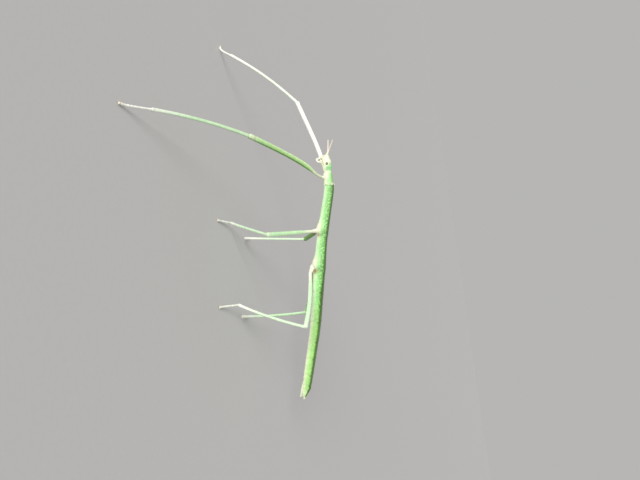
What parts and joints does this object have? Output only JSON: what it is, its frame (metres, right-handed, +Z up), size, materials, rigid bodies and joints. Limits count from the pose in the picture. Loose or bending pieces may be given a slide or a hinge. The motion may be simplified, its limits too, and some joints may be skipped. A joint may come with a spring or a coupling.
{
  "type": "stick insect",
  "caption": "Green stick insect nymph standing on its six feet, with its long fore legs stretched out, short feelers and a slender ringed body.",
  "frame": {"origin": "on the floor, under the middle of the insect's box", "axes": "-X toward the head, +X toward the tail, -Y the insect's left, +Z up"},
  "size_m": [0.0798, 0.0482, 0.025],
  "materials": {
    "body_green": "satin waxy skin, light green, darker on the back",
    "head_green": "satin, pale green fading to cream at the face",
    "cream_skin": "satin, cream",
    "femur_green": "satin, bright green",
    "tibia_mint": "satin, pale mint green",
    "pale_leg": "satin, ivory with a touch of green",
    "foot": "satin, off-white",
    "claw": "hard and slightly glossy, brown",
    "feeler": "matte, pinkish beige",
    "eye": "glossy, dark olive"
  },
  "bodies": {
    "root": {"abdomen_10": "body_green", "abdomen_2": "body_green", "abdomen_3": "body_green", "abdomen_4": "body_green", "abdomen_5": "body_green", "abdomen_6": "body_green", "abdomen_7": "body_green", "abdomen_8": "body_green", "abdomen_9": "body_green", "antenna_left": "feeler", "antenna_right": "feeler", "cercus_left": "cream_skin", "cercus_right": "cream_skin", "claws_left_fore": "claw", "claws_left_hind": "claw", "claws_left_mid": "claw", "claws_right_fore": "claw", "claws_right_hind": "claw", "claws_right_mid": "claw", "coxa_left_fore": "cream_skin", "coxa_left_hind": "cream_skin", "coxa_left_mid": "cream_skin", "coxa_right_fore": "cream_skin", "coxa_right_hind": "cream_skin", "coxa_right_mid": "cream_skin", "eye_left": "eye", "eye_right": "eye", "femur_left_fore": "femur_green", "femur_left_hind": "femur_green", "femur_left_mid": "femur_green", "femur_right_fore": "pale_leg", "femur_right_hind": "femur_green", "femur_right_mid": "femur_green", "head": "head_green", "labrum": "cream_skin", "median_segment": "body_green", "mesothorax": "body_green", "metathorax": "body_green", "palp_left": "cream_skin", "palp_right": "cream_skin", "prothorax": "body_green", "subgenital_plate": "cream_skin", "tarsus_left_fore": "foot", "tarsus_left_hind": "foot", "tarsus_left_mid": "foot", "tarsus_right_fore": "foot", "tarsus_right_hind": "foot", "tarsus_right_mid": "foot", "tibia_left_fore": "tibia_mint", "tibia_left_hind": "tibia_mint", "tibia_left_mid": "tibia_mint", "tibia_right_fore": "pale_leg", "tibia_right_hind": "tibia_mint", "tibia_right_mid": "tibia_mint"}
  },
  "joints": []
}
